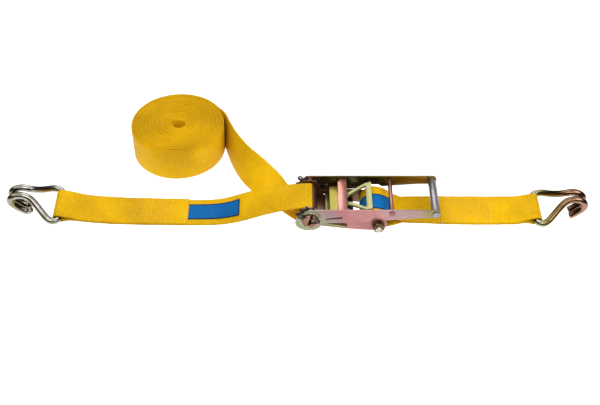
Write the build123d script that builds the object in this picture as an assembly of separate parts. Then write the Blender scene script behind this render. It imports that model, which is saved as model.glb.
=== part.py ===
from build123d import *
import math
import os

# Ratchet tie down for 75 mm webbing. Millimetres, +Z up.
# Origin: middle of the spool axis. +X points to the fixed end, +Y to the far side.

# Webbing
WEB_HALF = 37.5
WEB_THICK = 3.0
SEWN_THICK = 6.4
FLOOR_Z = -43.0

# Spool
MANDREL_R = 16.0
MANDREL_HALF_LENGTH = 63.0
SLOT_GAP = 6.0
SLOT_TILT = 15.0
BORE_R = 16.06
WHEEL_IN, WHEEL_OUT = 44.6, 49.5
TEETH = 12
TOOTH_TIP_R = 31.0
TOOTH_ROOT_R = 24.5
TOOTH_FOOT_ANGLE = -42.0
SPLIT_PIN_R = 1.9
SPLIT_PIN_Y = 59.3
SPLIT_PIN_RISE = 7.0
SPLIT_PIN_LEG_R = 1.5

# Frame
PLATE_IN, PLATE_OUT = 40.0, 44.0
PLATE_SPOOL_R = 24.0
BOLT_X, BOLT_Z = 145.0, -25.0
BOLT_R = 7.0
BOLT_LOBE_R = 18.0

# Handle
CHEEK_IN, CHEEK_OUT = 50.2, 54.2
HANDLE_TOP = 25.0
GRIP_X, GRIP_Z, GRIP_R = 262.0, 14.5, 9.0
CROSS_X, CROSS_Z, CROSS_R = 171.0, 17.5, 4.5
WEB_PLATE_X0, WEB_PLATE_X1 = 60.0, 79.0
WEB_PLATE_TOP = 18.5
WEB_PLATE_THICK = 3.5

# Pawls: a slide line is an angle and its distance below the spool axis
LOCK_ANGLE, LOCK_DROP = -12.0, 10.24
DRIVE_ANGLE, DRIVE_DROP = 8.0, 4.45
LOCK_THICK, DRIVE_THICK = 6.0, 5.0
DRIVE_EAR_THICK = 4.0

# Hooks
WIRE_R = 7.4
EYE_IN = 8.0
EYE_OUT = 11.2
LOOSE_BAR_X, LOOSE_BAR_Z, LOOSE_TILT, LOOSE_PITCH = -529.5, -12.8, 3.5, 5.5
FIXED_BAR_X, FIXED_BAR_Z, FIXED_TILT, FIXED_PITCH = 480.0, -22.0, 0.0, 1.0
CURLED_TIP = [(71, 9, -12.8), (64, 9, -11.0), (60, 9, -5.5)]
OPEN_TIP = [(73, 9, -12.2)]

# Strap roll
ROLL_X, ROLL_Y, ROLL_R, ROLL_CORE_R = -293.5, 219.0, 106.0, 14.0


def save(node, *solids):
    """Write one node as a STEP file."""
    shape = solids[0] if len(solids) == 1 else Compound(children=list(solids))
    shape.label = node
    export_step(shape, f"parts/{node}.step")


def cylinder_y(x, z, radius, y0, y1):
    """Cylinder along Y between two Y values."""
    disc = Plane.XZ.offset(-y0) * Pos(x, z) * Circle(radius)
    return extrude(disc, amount=-(y1 - y0))


def plate_y(outline, y0, y1):
    """A face drawn in X and Z, thickened from y0 to y1."""
    return extrude(Plane.XZ.offset(-y0) * outline, amount=-(y1 - y0))


def polygon(points):
    """Face from a closed list of points."""
    return make_face(Polyline(*points, close=True))


def both_sides(y0, y1):
    """The near and far spans of a pair of mirrored pieces."""
    return {"near": (-y1, -y0), "far": (y0, y1)}


def unit(vector):
    length = math.sqrt(sum(c * c for c in vector))
    return tuple(c / length for c in vector)


def ribbon_outline(points, thickness):
    """Closed outline of a band that follows a line of (x, z) points."""
    left, right = [], []
    for i, (x, z) in enumerate(points):
        before = points[max(i - 1, 0)]
        after = points[min(i + 1, len(points) - 1)]
        dx, dz = unit((after[0] - before[0], after[1] - before[1]))
        left.append((x - dz * thickness / 2, z + dx * thickness / 2))
        right.append((x + dz * thickness / 2, z - dx * thickness / 2))
    return left + right[::-1]


def smooth_points(points, per_span=6):
    """Catmull-Rom points through a line of points."""
    out = []
    last = len(points) - 1
    for i in range(last):
        p0 = points[max(i - 1, 0)]
        p1, p2 = points[i], points[i + 1]
        p3 = points[min(i + 2, last)]
        for k in range(per_span):
            t = k / per_span
            out.append(tuple(
                0.5 * (2 * b + (c - a) * t + (2 * a - 5 * b + 4 * c - d) * t * t
                       + (3 * b - a - 3 * c + d) * t ** 3)
                for a, b, c, d in zip(p0, p1, p2, p3)
            ))
    out.append(tuple(points[last]))
    return out


def on_slide(angle, drop, along, offset=0.0):
    """(x, z) at a distance along a pawl's slide line; offset is to the upper side."""
    a = math.radians(angle)
    x = math.sin(a) * (drop - offset) + math.cos(a) * along
    z = -math.cos(a) * (drop - offset) + math.sin(a) * along
    return x, z


def slide_box(angle, drop, s0, s1, thick, y0, y1, offset=0.0):
    """Box lying along a pawl's slide line."""
    corners = [
        on_slide(angle, drop, s0, offset - thick / 2),
        on_slide(angle, drop, s1, offset - thick / 2),
        on_slide(angle, drop, s1, offset + thick / 2),
        on_slide(angle, drop, s0, offset + thick / 2),
    ]
    return plate_y(polygon(corners), y0, y1)


def slide_rod(angle, drop, s0, s1, y, radius):
    """Round rod lying along a pawl's slide line."""
    x, z = on_slide(angle, drop, s0)
    a = math.radians(angle)
    plane = Plane(origin=(x, y, z), x_dir=(0, 1, 0), z_dir=(math.cos(a), 0, math.sin(a)))
    return extrude(plane * Circle(radius), amount=s1 - s0)


def slide_spring(angle, drop, s0, s1, y, coil_r, wire_r, turns):
    """Coil spring lying along a pawl's slide line."""
    length = s1 - s0 - 2 * wire_r - 0.4
    path = Helix(pitch=length / turns, height=length, radius=coil_r)
    start = Plane(origin=path @ 0, z_dir=path % 0)
    coil = sweep(start * Circle(wire_r), path=path)
    x, z = on_slide(angle, drop, s0 + wire_r + 0.2)
    a = math.radians(angle)
    place = Plane(origin=(x, y, z), x_dir=(0, 1, 0), z_dir=(math.cos(a), 0, math.sin(a)))
    return place * coil


def slot_frame(x, z):
    """A point given across and along the mandrel slot, turned into (x, z)."""
    t = math.radians(SLOT_TILT)
    return x * math.cos(t) + z * math.sin(t), -x * math.sin(t) + z * math.cos(t)


# ---- spool ----

def split_pin_shaft(y, radius):
    """Cross rod through both mandrel halves."""
    x, z = slot_frame(-18, SPLIT_PIN_RISE)
    ex, ez = slot_frame(1, 0)
    plane = Plane(origin=(x, y, z), x_dir=(0, 1, 0), z_dir=(ex, 0, ez))
    return extrude(plane * Circle(radius), amount=37)


def mandrel_half(side):
    """Half-moon shaft on one side of the webbing slot."""
    full = cylinder_y(0, 0, MANDREL_R, -MANDREL_HALF_LENGTH, MANDREL_HALF_LENGTH)
    full = chamfer(full.edges().filter_by(GeomType.CIRCLE), 1.0)
    corners = [(side * SLOT_GAP / 2, -20), (side * 20, -20), (side * 20, 20), (side * SLOT_GAP / 2, 20)]
    keep = plate_y(polygon([slot_frame(*c) for c in corners]), -70, 70)
    half = full & keep
    for y in (-SPLIT_PIN_Y, SPLIT_PIN_Y):
        half -= split_pin_shaft(y, SPLIT_PIN_R + 0.1)
    return half.solid()


def tooth_outline():
    """Ratchet wheel outline: flat root, ramp, short land and a steep catching face."""
    pitch = 360 / TEETH
    marks = [(0, TOOTH_ROOT_R), (8, TOOTH_ROOT_R), (16, TOOTH_ROOT_R),
             (24.5, TOOTH_TIP_R), (27.5, TOOTH_TIP_R)]
    points = []
    for k in range(TEETH):
        for step, radius in marks:
            a = math.radians(TOOTH_FOOT_ANGLE + k * pitch + step)
            points.append((radius * math.cos(a), radius * math.sin(a)))
    return points


def ratchet_wheel(y0, y1):
    """Toothed wheel with two half-moon holes."""
    wheel = plate_y(polygon(tooth_outline()), y0, y1)
    hole = cylinder_y(0, 0, BORE_R, y0 - 1, y1 + 1)
    half_bar = SLOT_GAP / 2 - 0.06
    bar = [(-half_bar, -20), (half_bar, -20), (half_bar, 20), (-half_bar, 20)]
    hole -= plate_y(polygon([slot_frame(*c) for c in bar]), y0 - 2, y1 + 2)
    return (wheel - hole).solid()


def split_pin_leg(y, path):
    """Bent end of a split pin; path holds (along, rise, outward) points."""
    outward = 1 if y > 0 else -1
    points = []
    for along, rise, out in path:
        x, z = slot_frame(along, SPLIT_PIN_RISE + rise)
        points.append(Vector(x, y + outward * out, z))
    leg = Pos(*points[0]) * Sphere(SPLIT_PIN_LEG_R)
    for a, b in zip(points, points[1:]):
        step = b - a
        rod = Plane(origin=a, z_dir=step) * Circle(SPLIT_PIN_LEG_R)
        leg += extrude(rod, amount=step.length)
        leg += Pos(*b) * Sphere(SPLIT_PIN_LEG_R)
    return leg


def split_pin(y):
    """Split pin: shaft, round eye and two legs bent back over the mandrel's end face."""
    pin = split_pin_shaft(y, SPLIT_PIN_R)
    x, z = slot_frame(-22.0, SPLIT_PIN_RISE)
    eye_plane = Plane(origin=(x, y, z), z_dir=(0, 1, 0))
    pin += eye_plane * Torus(4.2, 1.7)
    over = MANDREL_HALF_LENGTH - SPLIT_PIN_Y + SPLIT_PIN_LEG_R + 0.3
    upper_leg = [(17.5, 0, 0), (19.3, 0, 1.2), (19.0, 0.6, over), (11, 3.4, over), (1, 5.4, over)]
    lower_leg = [(17.5, 0, 0), (19.6, -1.0, 1.0), (19.2, -2.4, over), (11, -4.6, over), (4, -8.4, over)]
    pin += split_pin_leg(y, upper_leg)
    pin += split_pin_leg(y, lower_leg)
    return pin.solid()


def spool_webbing():
    """The length of webbing that turns with the slot."""
    half = WEB_THICK / 2
    inner, outer = MANDREL_R + 0.25, MANDREL_R + 0.25 + WEB_THICK
    in_slot = [(-half, -18.6), (half, -18.6), (half, inner + 0.6), (-half, inner + 0.6)]
    webbing = plate_y(polygon([slot_frame(*c) for c in in_slot]), -WEB_HALF, WEB_HALF)
    angles = [70 + 23.5 * k / 8 for k in range(9)]
    arc = [(outer * math.cos(math.radians(a)), outer * math.sin(math.radians(a))) for a in angles]
    arc += [(inner * math.cos(math.radians(a)), inner * math.sin(math.radians(a))) for a in angles[::-1]]
    webbing += plate_y(polygon(arc), -WEB_HALF, WEB_HALF)
    return webbing.solid()


def write_spool():
    save("mandrel_half_left", mandrel_half(-1))
    save("mandrel_half_right", mandrel_half(1))
    for side, (y0, y1) in both_sides(WHEEL_IN, WHEEL_OUT).items():
        save(f"ratchet_wheel_{side}", ratchet_wheel(y0, y1))
    washers = [
        cylinder_y(0, 0, 22, y0, y1) - cylinder_y(0, 0, BORE_R, y0 - 1, y1 + 1)
        for y0, y1 in both_sides(54.5, 55.9).values()
    ]
    save("spool_washers", *[w.solid() for w in washers])
    save("split_pins", split_pin(-SPLIT_PIN_Y), split_pin(SPLIT_PIN_Y))
    save("spool_webbing", spool_webbing())


# ---- frame ----

def frame_plate(y0, y1):
    """Side plate with the mandrel bore, the lock pawl slot and the bolt hole."""
    outline = polygon([
        (0, 20), (14, 18), (26, -4), (60, -3.5), (100, -5), (132, -9), (150, -8),
        (160, -30), (148, -42), (140, -42.4), (103, -39.5), (73, -36.5), (24, -28.5), (0, -22),
    ])
    outline += Circle(PLATE_SPOOL_R)
    outline += Pos(BOLT_X, BOLT_Z) * Circle(BOLT_LOBE_R)
    plate = plate_y(outline, y0, y1)
    plate -= cylinder_y(0, 0, BORE_R, y0 - 1, y1 + 1)
    plate -= cylinder_y(BOLT_X, BOLT_Z, BOLT_R + 0.1, y0 - 1, y1 + 1)
    plate -= slide_box(LOCK_ANGLE, LOCK_DROP, 33.2, 82.5, LOCK_THICK + 0.5, y0 - 1, y1 + 1)
    return plate.solid()


def frame_floor():
    """Bottom plate of the frame, under the spool and the lock pawl."""
    return slide_box(LOCK_ANGLE, LOCK_DROP, 10.0, 101.0, 2.0, -PLATE_IN, PLATE_IN, -8.5).solid()


def frame_bridge():
    """Cross plate between the side plates that backs the lock pawl spring."""
    bridge = slide_box(LOCK_ANGLE, LOCK_DROP, 92.0, 95.5, 15.5, -PLATE_IN, PLATE_IN, 0.25)
    bridge -= slide_rod(LOCK_ANGLE, LOCK_DROP, 90.0, 98.0, 0, 2.6)
    return bridge.solid()


def hexagon_y(x, z, across, y0, y1):
    return plate_y(Pos(x, z) * RegularPolygon(across / 2, 6, major_radius=False), y0, y1)


def write_frame():
    for side, (y0, y1) in both_sides(PLATE_IN, PLATE_OUT).items():
        save(f"frame_plate_{side}", frame_plate(y0, y1))
    save("frame_bridge", frame_bridge())
    save("frame_floor", frame_floor())
    shank = cylinder_y(BOLT_X, BOLT_Z, BOLT_R, -61.0, 46.0)
    shank = chamfer(shank.edges().filter_by(GeomType.CIRCLE).group_by(Axis.Y)[0], 1.2)
    save("fixed_end_bolt", (shank + hexagon_y(BOLT_X, BOLT_Z, 22, 46.0, 54.5)).solid())
    nut = hexagon_y(BOLT_X, BOLT_Z, 22, -57.0, -46.0)
    nut -= cylinder_y(BOLT_X, BOLT_Z, BOLT_R + 0.05, -60, -44)
    save("fixed_end_nut", nut.solid())
    washers = [
        cylinder_y(BOLT_X, BOLT_Z, 14, y0, y1) - cylinder_y(BOLT_X, BOLT_Z, 7.4, y0 - 1, y1 + 1)
        for y0, y1 in both_sides(PLATE_OUT, 46.0).values()
    ]
    save("fixed_end_washers", *[w.solid() for w in washers])
    sleeve = cylinder_y(BOLT_X, BOLT_Z, 9.5, -PLATE_IN, PLATE_IN)
    sleeve -= cylinder_y(BOLT_X, BOLT_Z, 7.3, -41, 41)
    save("spacer_sleeve", sleeve.solid())
    save("lock_pawl_spring", slide_spring(LOCK_ANGLE, LOCK_DROP, 80.4, 92.0, 0, 5.0, 0.8, 4))


# ---- pawls ----

def lock_pawl():
    """Flat locking bar: wide ears through the frame plates, notched round the spool."""
    body = slide_box(LOCK_ANGLE, LOCK_DROP, 36.5, 80.2, LOCK_THICK, -39.6, 39.6)
    ears = slide_box(LOCK_ANGLE, LOCK_DROP, 40.2, 80.2, LOCK_THICK, -49.9, 49.9)
    pawl = body + ears
    for y0, y1 in both_sides(44.3, 49.9).values():
        pawl += slide_box(LOCK_ANGLE, LOCK_DROP, 30.8, 60.0, LOCK_THICK, y0, y1)
    return pawl.solid()


def write_lock_pawl():
    save("lock_pawl", lock_pawl())
    guide = slide_rod(LOCK_ANGLE, LOCK_DROP, 80.2, 100.5, 0, 2.4)
    save("lock_pawl_guide", guide.solid())


def drive_pawl():
    """Driving bar with a narrow neck and a triangular finger pull."""
    a, d, t = DRIVE_ANGLE, DRIVE_DROP, DRIVE_THICK
    pawl = slide_box(a, d, 43.0, 60.0, t, -49.8, 49.8)
    for y0, y1 in both_sides(40.4, 49.8).values():
        pawl += slide_box(a, d, 31.6, 44.0, t, y0, y1)
    for y0, y1 in both_sides(49.0, 53.0).values():
        pawl += slide_box(a, d, 40.0, 66.0, DRIVE_EAR_THICK, y0, y1)
    pawl += slide_box(a, d, 58.0, 86.0, t, -19.0, 19.0)
    origin_x, origin_z = on_slide(a, d, 84.0)
    rise = math.radians(10.5)
    plane = Plane(
        origin=(origin_x, 0, origin_z - t / 2 + 0.4),
        x_dir=(math.cos(rise), 0, math.sin(rise)),
        z_dir=(-math.sin(rise), 0, math.cos(rise)),
    )
    pull = polygon([(-3, -19), (4, -21), (44, -45), (49, -46.5), (49, 46.5), (44, 45), (4, 21), (-3, 19)])
    pull = fillet(pull.vertices().filter_by(lambda v: v.X > 5), 2.0)
    opening = polygon([(-7, -5), (37, -33.5), (37, 33.5), (-7, 5)])
    opening = fillet(opening.vertices(), 2.0)
    pawl += extrude(plane * pull, amount=t)
    pawl -= extrude(plane * opening, amount=3 * t, both=True)
    return pawl.solid()


def write_drive_pawl():
    save("drive_pawl", drive_pawl())
    guides = [slide_rod(DRIVE_ANGLE, DRIVE_DROP, 60.0, 84.0, y, 2.0).solid() for y in (-31, 31)]
    save("drive_pawl_guides", *guides)


# ---- handle ----

def handle_cheek(y0, y1):
    """Side arm of the handle with the mandrel bore and the drive pawl slot."""
    end_r = 10.5
    arms = polygon([
        (8, HANDLE_TOP), (GRIP_X, HANDLE_TOP), (GRIP_X + 4, HANDLE_TOP - 12), (GRIP_X, 4), (236, 4),
        (176, -1), (156, -3), (148, 3), (132, 3), (123, -7), (104, -9.5), (26, -11), (8, -11),
    ])
    outline = fillet(arms.vertices().filter_by(lambda v: 100 < v.X < 180), 4.0)
    lobe = smooth_points([
        (12, HANDLE_TOP), (-4, HANDLE_TOP - 1), (-17, 14.5), (-26, 3), (-30, -7), (-28.5, -17), (-21, -26),
        (-8, -31.5), (6, -31.5), (17, -26.5), (25, -18), (31, -9),
    ], 4)
    outline += polygon(lobe)
    outline += Pos(GRIP_X, HANDLE_TOP - end_r) * Circle(end_r)
    cheek = plate_y(outline, y0, y1)
    cheek -= cylinder_y(0, 0, BORE_R, y0 - 1, y1 + 1)
    cheek -= slide_box(DRIVE_ANGLE, DRIVE_DROP, 33.0, 68.5, DRIVE_EAR_THICK + 0.4, y0 - 1, y1 + 1)
    cheek -= cylinder_y(GRIP_X, GRIP_Z, 4.9, y0 - 1, y1 + 1)
    cheek -= cylinder_y(CROSS_X, CROSS_Z, 3.6, y0 - 1, y1 + 1)
    return cheek.solid()


def handle_web():
    """Cross plate between the cheeks with two flanges that back the pawl springs."""
    z1 = WEB_PLATE_TOP
    z0 = z1 - WEB_PLATE_THICK
    x0, x1 = WEB_PLATE_X0, WEB_PLATE_X1
    web = plate_y(polygon([(x0, z0), (x1, z0), (x1, z1), (x0, z1)]), -CHEEK_IN, CHEEK_IN)
    flange = polygon([(x1 - 3, z0 + 1), (x1 - 3, -2.5), (x1, -2.5), (x1, z0 + 1)])
    for y0, y1 in both_sides(21.0, 48.0).values():
        web += plate_y(flange, y0, y1)
    for y in (-31, 31):
        web -= slide_rod(DRIVE_ANGLE, DRIVE_DROP, 70.0, 90.0, y, 2.3)
    cut = [(55, 51), (55, 30), (61, 44), (65, 51)]
    corner = Plane.XY.offset(z0 - 1) * polygon(cut)
    web -= extrude(corner, amount=WEB_PLATE_THICK + 2)
    return web.solid()


def headed_rod(x, z, shank_r, head_r, body_r=None):
    """Rod across the handle with a riveted head outside each cheek."""
    rod = cylinder_y(x, z, shank_r, -56.6, 56.6)
    if body_r:
        rod += cylinder_y(x, z, body_r, -CHEEK_IN, CHEEK_IN)
    for y0, y1 in both_sides(CHEEK_OUT, 56.6).values():
        rod += cylinder_y(x, z, head_r, y0, y1)
    return rod.solid()


def write_handle():
    for side, (y0, y1) in both_sides(CHEEK_IN, CHEEK_OUT).items():
        save(f"handle_cheek_{side}", handle_cheek(y0, y1))
    save("handle_web", handle_web())
    save("handle_cross_bar", headed_rod(CROSS_X, CROSS_Z, 3.5, 5.5, CROSS_R))
    grip = cylinder_y(GRIP_X, GRIP_Z, GRIP_R, -CHEEK_IN, CHEEK_IN)
    grip -= cylinder_y(GRIP_X, GRIP_Z, 6.0, -60, 60)
    save("handle_grip_tube", grip.solid())
    save("grip_rivet", headed_rod(GRIP_X, GRIP_Z, 4.8, 7.0))
    springs = [slide_spring(DRIVE_ANGLE, DRIVE_DROP, 60.2, 75.6, y, 3.9, 0.7, 5) for y in (-31, 31)]
    save("drive_pawl_springs", *[s.solid() for s in springs])


# ---- hooks ----

def bent_bar(points, radius):
    """Round bar bent along a smooth line through the points."""
    path = smooth_points(points, 3)
    across = Vector(1, 0, 0)
    rings = []
    for i, p in enumerate(path):
        before, after = path[max(i - 1, 0)], path[min(i + 1, len(path) - 1)]
        along = (Vector(*after) - Vector(*before)).normalized()
        across = (across - along * across.dot(along)).normalized()
        rings.append(Wire.make_circle(radius, Plane(origin=p, x_dir=across, z_dir=along)))
    return Solid.make_loft(rings, ruled=True)


def claw_hook(bar_x, bar_z, tilt, pitch, outward, tip):
    """Double claw bent from one round bar; outward is +1 toward +X, -1 toward -X."""
    leg = [
        (0, 34.0, 0), (0.4, 38.8, 0.1), (4.2, 44.0, 0.8), (12, 46.0, 2.8), (21, 42.8, 6.6),
        (31, 34.4, 12.4), (42, 24.6, 20.2), (53, 16.4, 28.2), (63, 12.4, 34.2), (73, 11.4, 37.0),
        (83, 11, 36.4), (92, 11, 32.4), (99.2, 10.7, 25.6), (101, 10.2, 17), (97.2, 9.6, 8),
        (89, 9.2, -1.0), (80, 9, -8.6),
    ]
    leg += tip
    other_leg = [(x, -y, z) for x, y, z in leg]
    claw = bent_bar(leg[::-1] + [(0, 17, 0), (0, 0, 0), (0, -17, 0)] + other_leg, WIRE_R)
    claw = Rot(0, -pitch, 0) * claw
    claw = Rot(0, 0, 0 if outward > 0 else 180) * claw
    return (Pos(bar_x, 0, bar_z) * Rot(tilt, 0, 0) * claw).solid()


# ---- webbing ----

def strap_section(x, z, tilt, thick, half_width=WEB_HALF, lift=0.0):
    """Rectangular cross section of a strap, tilted about X; lift is measured up from the middle."""
    c, s = math.cos(math.radians(tilt)), math.sin(math.radians(tilt))
    low, high = lift - thick / 2, lift + thick / 2
    corners = []
    for y, h in ((-half_width, low), (half_width, low), (half_width, high), (-half_width, high)):
        corners.append(Vector(x, y * c - h * s, z + y * s + h * c))
    return Wire.make_polygon(corners, close=True)


def lofted(sections):
    return Solid.make_loft(sections, ruled=True)


def eye_ring(bar_x, bar_z, tilt):
    """Webbing eye round a hook's base bar."""
    ring = cylinder_y(0, 0, EYE_OUT, -WEB_HALF + 0.4, WEB_HALF - 0.4)
    ring -= cylinder_y(0, 0, EYE_IN, -40, 40)
    return Pos(bar_x, 0, bar_z) * Rot(tilt, 0, 0) * ring


def loose_strap_line():
    """Stations (x, z, tilt) of the single layer from the spool to the sewn fold."""
    stations = [
        (-14.4, 16.7, 0.0), (-40.0, 13.3, 1.5), (-68.0, 8.4, 4.5), (-100.0, -0.4, 7.0),
        (-136.0, -13.8, 8.0), (-170.0, -25.2, 5.0), (-204.0, -31.4, 2.0), (-260.0, -32.8, 1.0),
    ]
    return smooth_points(stations, 3)


def loose_strap():
    """Strap from the spool to the hook eye; the last length is doubled and sewn."""
    single = [strap_section(x, z, tilt, WEB_THICK) for x, z, tilt in loose_strap_line()]
    end_x = LOOSE_BAR_X + EYE_IN + 1.6
    sewn = [
        (-258.0, -31.2, 1.0), (-330.0, -29.6, 2.0), (-400.0, -27.2, 2.5), (-460.0, -22.0, 3.0),
        (end_x, LOOSE_BAR_Z, LOOSE_TILT),
    ]
    strap = lofted(single)
    strap += lofted([strap_section(x, z, tilt, SEWN_THICK) for x, z, tilt in sewn])
    return (strap + eye_ring(LOOSE_BAR_X, LOOSE_BAR_Z, LOOSE_TILT)).solid()


def fixed_strap():
    """Strap from a loose loop round the bolt to the hook eye."""
    loop = [(196, -22.0), (181, -14.5), (166, -3.2), (153, 4.9), (142, 7.9), (132, 8.2), (121.2, 3.3),
            (113, -6.5), (109.3, -16.0), (108.6, -25.0), (112, -33), (121, -38), (136, -39.4), (158, -38.2),
            (176, -33.0), (196, -24.6)]
    outline = ribbon_outline(smooth_points(loop, 4), WEB_THICK)
    ring = plate_y(polygon(outline), -WEB_HALF, WEB_HALF)
    end_x = FIXED_BAR_X - EYE_IN - 1.6
    sewn = [
        strap_section(190, -23.3, 0, SEWN_THICK),
        strap_section(255, -24.4, 4.0, SEWN_THICK),
        strap_section(330, -26.2, 6.0, SEWN_THICK),
        strap_section(440, -26.0, 5.5, SEWN_THICK),
        strap_section(end_x, FIXED_BAR_Z, FIXED_TILT, SEWN_THICK),
    ]
    strap = ring + lofted(sewn)
    return (strap + eye_ring(FIXED_BAR_X, FIXED_BAR_Z, FIXED_TILT)).solid()


def edge_ribbon(stations, thickness):
    """Solid ribbon between two edge lines given as pairs of points."""
    sections = []
    for i, (a, b) in enumerate(stations):
        before = stations[max(i - 1, 0)]
        after = stations[min(i + 1, len(stations) - 1)]
        mid = [[(p + q) / 2 for p, q in zip(*s)] for s in (before, after)]
        along = Vector(*mid[1]) - Vector(*mid[0])
        across = Vector(*b) - Vector(*a)
        normal = along.cross(across).normalized() * (thickness / 2)
        corners = [Vector(*a) + normal, Vector(*b) + normal, Vector(*b) - normal, Vector(*a) - normal]
        sections.append(Wire.make_polygon(corners, close=True))
    return lofted(sections)


def tail_strap():
    """Free end of the webbing: flat under the spool, then on edge to the roll."""
    stations = [
        ((-6.0, -37.4, -20.6), (-6.0, 37.4, -20.6)),
        ((-12.0, -37.0, -25.5), (-11.0, 37.8, -25.0)),
        ((-27.0, -27.0, -29.0), (-22.0, 46.5, -28.0)),
        ((-50.0, -5.0, -31.5), (-41.0, 68.0, -24.0)),
        ((-78.0, 28.0, -34.0), (-62.0, 99.0, -14.0)),
        ((-110.0, 56.0, -37.0), (-84.0, 118.0, -1.0)),
        ((-133.0, 83.0, -40.5), (-104.0, 131.0, 12.0)),
        ((-153.0, 117.0, -41.5), (-126.0, 143.0, 23.0)),
        ((-168.5, 157.0, -42.3), (-146.0, 167.0, 28.0)),
        ((-178.0, 190.0, -42.5), (-165.0, 199.0, 30.0)),
        ((-184.2, 213.0, -42.5), (-177.0, 224.0, 31.0)),
        ((-184.8, 226.0, -42.5), (-179.5, 236.0, 31.5)),
    ]
    return edge_ribbon(stations, WEB_THICK)


def strap_roll():
    """Coiled surplus webbing, standing on its edge."""
    disc = Circle(ROLL_R) - Circle(ROLL_CORE_R)
    return extrude(Plane.XY.offset(FLOOR_Z) * Pos(ROLL_X, ROLL_Y) * disc, amount=2 * WEB_HALF)


def loose_label():
    """Label lying just above the loose strap, next to its sewn fold."""
    line = [p for p in loose_strap_line() if -257.0 < p[0] < -145.0]
    return lofted([strap_section(x, z, tilt, 0.8, 22.0, 2.5) for x, z, tilt in line])


def fixed_label():
    """Label over the loose loop at the bolt."""
    loop = [(167.5, -1.2), (154, 7.2), (142.4, 10.3), (131.0, 10.5), (119.4, 5.2), (110.8, -5.6),
            (106.7, -16.0)]
    outline = ribbon_outline(smooth_points(loop, 5), 0.8)
    return plate_y(polygon(outline), -31, 13)


def write_webbing():
    save("loose_strap", loose_strap())
    save("fixed_strap", fixed_strap())
    save("tail_strap", tail_strap())
    save("strap_roll", strap_roll().solid())
    save("loose_strap_label", loose_label())
    save("fixed_strap_label", fixed_label())


def write_hooks():
    save("loose_end_hook", claw_hook(LOOSE_BAR_X, LOOSE_BAR_Z, LOOSE_TILT, LOOSE_PITCH, -1, CURLED_TIP))
    save("fixed_end_hook", claw_hook(FIXED_BAR_X, FIXED_BAR_Z, FIXED_TILT, FIXED_PITCH, 1, OPEN_TIP))


os.makedirs("parts", exist_ok=True)
write_spool()
write_frame()
write_lock_pawl()
write_drive_pawl()
write_handle()
write_webbing()
write_hooks()
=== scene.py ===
import math

import bpy
from mathutils import Matrix, Vector


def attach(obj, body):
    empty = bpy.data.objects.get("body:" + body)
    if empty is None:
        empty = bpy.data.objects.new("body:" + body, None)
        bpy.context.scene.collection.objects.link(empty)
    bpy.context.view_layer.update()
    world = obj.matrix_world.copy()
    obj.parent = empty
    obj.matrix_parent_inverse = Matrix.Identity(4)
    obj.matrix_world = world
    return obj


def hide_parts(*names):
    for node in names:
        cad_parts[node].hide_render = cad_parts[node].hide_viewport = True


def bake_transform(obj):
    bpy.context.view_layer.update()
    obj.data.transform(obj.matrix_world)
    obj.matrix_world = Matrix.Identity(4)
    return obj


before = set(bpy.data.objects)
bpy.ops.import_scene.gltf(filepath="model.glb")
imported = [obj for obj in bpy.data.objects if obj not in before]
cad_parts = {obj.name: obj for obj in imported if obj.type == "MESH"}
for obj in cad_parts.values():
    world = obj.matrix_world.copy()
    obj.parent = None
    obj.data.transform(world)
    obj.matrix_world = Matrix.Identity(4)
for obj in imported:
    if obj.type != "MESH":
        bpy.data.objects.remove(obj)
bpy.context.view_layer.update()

# Lengths below are in millimetres; MM turns them into Blender's metres.
# FLOOR_Z is the underside of the part. STAGE_Z is the studio floor, low enough for lowered straps and hooks.
# LOOSE_BAR and FIXED_BAR are the hook bars' (x, z) places.
# LAYER_GAP is half the distance between the middles of a sewn strap's two layers.
# EYE_R and WRAP_R are the middle radii of the webbing round a hook bar and round the spool.
MM = 0.001
WEB_HALF = 37.5
WEB_THICK = 2.9
LAYER_GAP = 1.62
LABEL_HALF = 22.0
FLOOR_Z = -43.0
STAGE_Z = -520.0
LOOSE_BAR = (-529.5, -12.8)
FIXED_BAR = (480.0, -22.0)
LOOSE_TILT, FIXED_TILT = 3.5, 0.0
LOOSE_PITCH, FIXED_PITCH = 5.5, 1.0
EYE_R = 9.6
WRAP_R = 17.75
WIRE_R = 7.4
ROLL_X, ROLL_Y, ROLL_OUTER, ROLL_CORE = -293.5, 219.0, 104.4, 15.5
TURN_PITCH = 3.02


# ---------------------------------------------------------------- materials

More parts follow.
